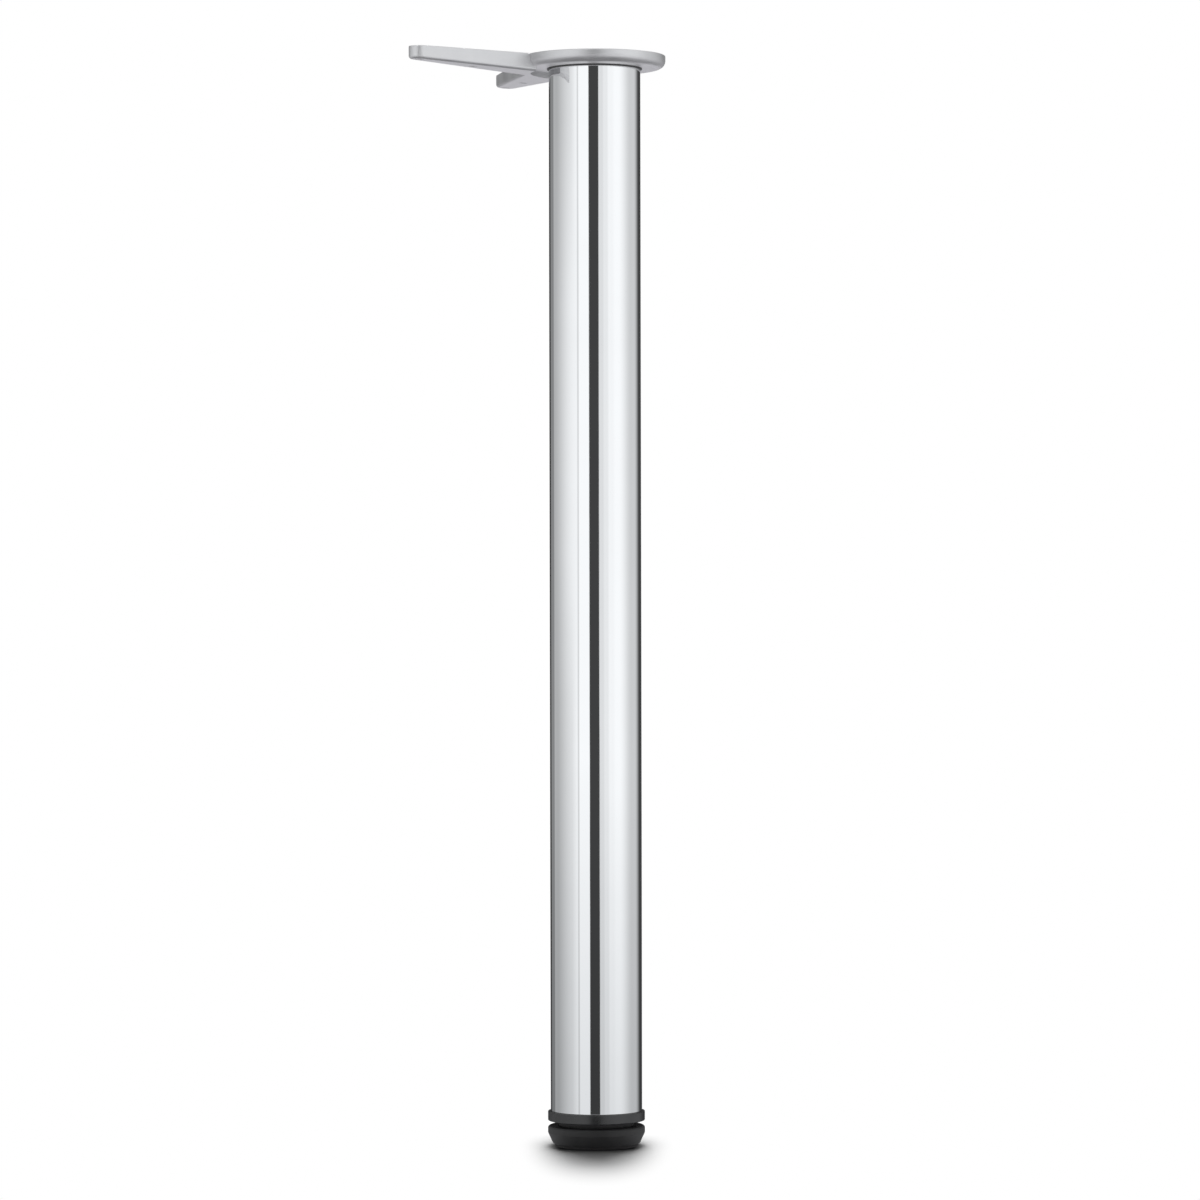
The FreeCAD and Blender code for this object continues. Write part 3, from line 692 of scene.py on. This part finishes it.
def off_by(tree, source, middle):
    """How far a value lies from a middle, to either side."""
    difference = math_node(tree, "SUBTRACT", source, middle)
    return math_node(tree, "ABSOLUTE", (difference, "Value"))


# %% Directions in the studio
world = bpy.data.worlds.new("studio")
bpy.context.scene.world = world
world.use_nodes = True
sky = world.node_tree
direction = sky.nodes.new("ShaderNodeTexCoord")
from_lens = add_node(
    sky, "VectorRotate", {"rotation_type": "Z_AXIS"}, Vector=(direction, "Generated"), Angle=-VIEW_AZIMUTH)
axes = add_node(sky, "SeparateXYZ", Vector=(from_lens, "Vector"))
towards = math_node(sky, "MULTIPLY", (axes, "Y"), -1.0)
round_angle = math_node(sky, "ARCTAN2", (axes, "X"), (towards, "Value"))
rise = math_node(sky, "ARCSINE", (axes, "Z"))
print("studio turned by %.1f degrees" % math.degrees(VIEW_AZIMUTH))

# %% The circle of cards
BEHIND = 0.05
CARDS = (
    (-150, 1.5, 0.25, "grey wall"),
    (-128, 2.0, 0.46, "pale wall"),
    (-88, 42.0, 0.98, "left soft light"),
    (-46, 1.2, 0.72, "gap between lights"),
    (-42, 1.2, 1.04, "left white card"),
    (-15.2, 1.0, 0.055, "dark gap at the lens"),
    (9.3, 1.0, 0.79, "right card, turned away"),
    (21, 2.5, 0.885, "right card"),
    (33, 3.0, 1.0, "edge of the right soft light"),
    (48, 5.0, 1.05, "right soft light"),
    (82, 22.0, 0.65, "grey wall"),
    (130, 14.0, 0.055, "dark flag behind"),
)
CARD_TINT = (0.985, 1.0, 1.015)

card_level = (BEHIND, BEHIND, BEHIND)
for edge, softness, level, card_name in CARDS:
    step = smooth_step(sky, (round_angle, "Value"), math.radians(edge), math.radians(softness))
    tinted = tuple(level * share for share in CARD_TINT)
    card_level = blend_colours(sky, (step, "Result"), card_level, tinted)
    print("card from %6.1f degrees: %.2f, %s" % (edge, level, card_name))

# %% [markdown]
# Light that falls off
#
# A real soft light is brightest at its middle, and the foot of every card is darker than the rest. Both
# are a loss of brightness over the height: the first for the left light alone, which shows as the broad
# stripe on the left of the tube, and the second for the whole circle.

# %% Falloff on the cards
LEFT_MIDDLE = math.radians(-86)
LEFT_FULL = math.radians(24)
LEFT_END = math.radians(38)
GLOW_RISE = math.radians(2)
GLOW_FULL = math.radians(1.5)
GLOW_END = math.radians(3.7)
GLOW_LOSS = 0.14
DIM_FROM = math.radians(-2)
DIM_TO = math.radians(-6.8)
DIM = (0.74, 0.745, 0.75)

off_left = off_by(sky, (round_angle, "Value"), LEFT_MIDDLE)
on_left = add_node(
    sky, "MapRange", Value=(off_left, "Value"), From_Min=LEFT_FULL, From_Max=LEFT_END,
    To_Min=1.0, To_Max=0.0)
off_glow = off_by(sky, (rise, "Value"), GLOW_RISE)
glow_loss = add_node(
    sky, "MapRange", Value=(off_glow, "Value"), From_Min=GLOW_FULL, From_Max=GLOW_END, To_Max=GLOW_LOSS)
left_loss = math_node(sky, "MULTIPLY", (on_left, "Result"), (glow_loss, "Result"))
card_glow = blend_colours(sky, (left_loss, "Value"), card_level, (0, 0, 0))
low_share = add_node(sky, "MapRange", Value=(rise, "Value"), From_Min=DIM_FROM, From_Max=DIM_TO)
dimming = blend_colours(sky, (low_share, "Result"), (1, 1, 1), DIM)
walls = add_node(sky, "Mix", {"data_type": "RGBA", "blend_type": "MULTIPLY"}, Factor=1.0)
link(sky, card_glow, "Result", walls, "A")
link(sky, dimming, "Result", walls, "B")
print("loss at the ends of the left light: %.0f %%" % (100 * GLOW_LOSS))

# %% [markdown]
# Floor and ceiling of the studio
#
# The metal also shows the floor, which is pale, mirrors the cards a little and gets dark right under the
# leg, and a white ceiling. Behind the leg the floor reaches further up, between the two flags, and shows
# no cards. Only reflections show all this: the camera sees plain white, and matt surfaces get a weak
# even light.

# %% The reflected floor
FLOOR_FAR = (0.78, 0.77, 0.82)
FLOOR_UNDER = (0.07, 0.07, 0.08)
FLOOR_MIRROR = 0.7
FLAGS_END = math.radians(166)
FLAGS_GONE = math.radians(171)
FLOOR_EDGE = math.radians(-9)
FLOOR_EDGE_BEHIND = math.radians(-4.5)
FLOOR_SOFT = math.radians(2)
UNDER_MIDDLE = math.radians(-38)
UNDER_SOFT = math.radians(18)

off_axis = math_node(sky, "ABSOLUTE", (round_angle, "Value"))
behind = add_node(sky, "MapRange", Value=(off_axis, "Value"), From_Min=FLAGS_END, From_Max=FLAGS_GONE)
mirror = math_node(sky, "MULTIPLY_ADD", (behind, "Result"), -FLOOR_MIRROR, FLOOR_MIRROR)
floor_far = blend_colours(sky, (mirror, "Value"), FLOOR_FAR, card_level)
to_far = smooth_step(sky, (rise, "Value"), UNDER_MIDDLE, UNDER_SOFT)
floor_seen = blend_colours(sky, (to_far, "Result"), FLOOR_UNDER, floor_far)
floor_edge = math_node(
    sky, "MULTIPLY_ADD", (behind, "Result"), FLOOR_EDGE_BEHIND - FLOOR_EDGE, FLOOR_EDGE)
over_edge = math_node(sky, "SUBTRACT", (rise, "Value"), (floor_edge, "Value"))
above_floor = smooth_step(sky, (over_edge, "Value"), 0, FLOOR_SOFT)
below = blend_colours(sky, (above_floor, "Result"), floor_seen, walls)
print("floor from %.1f degrees down" % -math.degrees(FLOOR_EDGE))

# %% The ceiling, and what the camera sees
CEILING = (0.85, 0.855, 0.865)
CEILING_EDGE = math.radians(38)
CEILING_SOFT = math.radians(16)
FILL = (0.12, 0.12, 0.12)
WHITE = (1, 1, 1)

above_cards = smooth_step(sky, (rise, "Value"), CEILING_EDGE, CEILING_SOFT)
studio = blend_colours(sky, (above_cards, "Result"), below, CEILING)
ray = sky.nodes.new("ShaderNodeLightPath")
reflected = blend_colours(sky, (ray, "Is Glossy Ray"), FILL, studio)
seen = blend_colours(sky, (ray, "Is Camera Ray"), reflected, WHITE)
link(sky, seen, "Result", sky.nodes["Background"], "Color")
print("studio: %d cards, %d nodes" % (len(CARDS), len(sky.nodes)))

# %% [markdown]
# The soft light
#
# One large soft box hangs behind and above the leg. It lights the floor to white, and because it is
# narrow as seen from the foot, the tube's shadow falls towards the camera and melts away within two
# hands' breadths. The studio cards already shine in the metal, so the box itself is kept out of
# reflections.

# %% The soft box
BOX_DISTANCE = 2.5
BOX_RISE = math.radians(52)
BOX_HALF_WIDTH = math.radians(14)
BOX_HALF_HEIGHT = math.radians(20)
BOX_POWER = 118.0

box_light = bpy.data.lights.new("soft_box", "AREA")
box_light.shape = "RECTANGLE"
box_light.size = 2 * BOX_DISTANCE * math.tan(BOX_HALF_WIDTH)
box_light.size_y = 2 * BOX_DISTANCE * math.tan(BOX_HALF_HEIGHT)
box_light.energy = BOX_POWER
soft_box = bpy.data.objects.new("soft_box", box_light)
bpy.context.scene.collection.objects.link(soft_box)
away_from_lens = np.array([-math.sin(VIEW_AZIMUTH), math.cos(VIEW_AZIMUTH)])
reach_back = BOX_DISTANCE * math.cos(BOX_RISE)
soft_box.location = (*(away_from_lens * reach_back), BOX_DISTANCE * math.sin(BOX_RISE))
soft_box.rotation_euler = (-(math.pi / 2 - BOX_RISE), 0, VIEW_AZIMUTH)
soft_box.visible_glossy = False
print("soft box: %.2f m wide, at %s" % (box_light.size, tuple(round(x, 2) for x in soft_box.location)))

# %% [markdown]
# Camera
#
# The photograph was taken from about three metres with a long lens, level with the middle of the leg.
# The leg's axis and the horizon lie a few pixels off the middle of the frame, and the leg leans by a
# tenth of a degree, so the camera is turned by those small angles.

# %% Camera at the photograph's place
FRAME_PIXELS = 1200
SENSOR = 36.0
FOCAL_PIXELS = 4750
PIXELS_A_METRE = 1525.2
AXIS_COLUMN = 595.5
HORIZON_ROW = 595.5
EYE_HEIGHT = 0.3606
LEAN = math.radians(0.11)

lens = bpy.data.cameras.new("camera")
lens.sensor_width = SENSOR
lens.lens = SENSOR * FOCAL_PIXELS / FRAME_PIXELS
camera = bpy.data.objects.new("camera", lens)
bpy.context.scene.collection.objects.link(camera)
distance = FOCAL_PIXELS / PIXELS_A_METRE
camera.location = (*(-away_from_lens * distance), EYE_HEIGHT)
turn = math.atan2(AXIS_COLUMN - FRAME_PIXELS / 2, FOCAL_PIXELS)
tilt = math.atan2(HORIZON_ROW - FRAME_PIXELS / 2, FOCAL_PIXELS)
camera.rotation_euler = (math.pi / 2 + tilt, LEAN, VIEW_AZIMUTH + turn)
bpy.context.scene.camera = camera
bpy.context.scene.view_settings.view_transform = "Standard"
print("camera: %.2f m away, lens %.1f mm" % (distance, lens.lens))
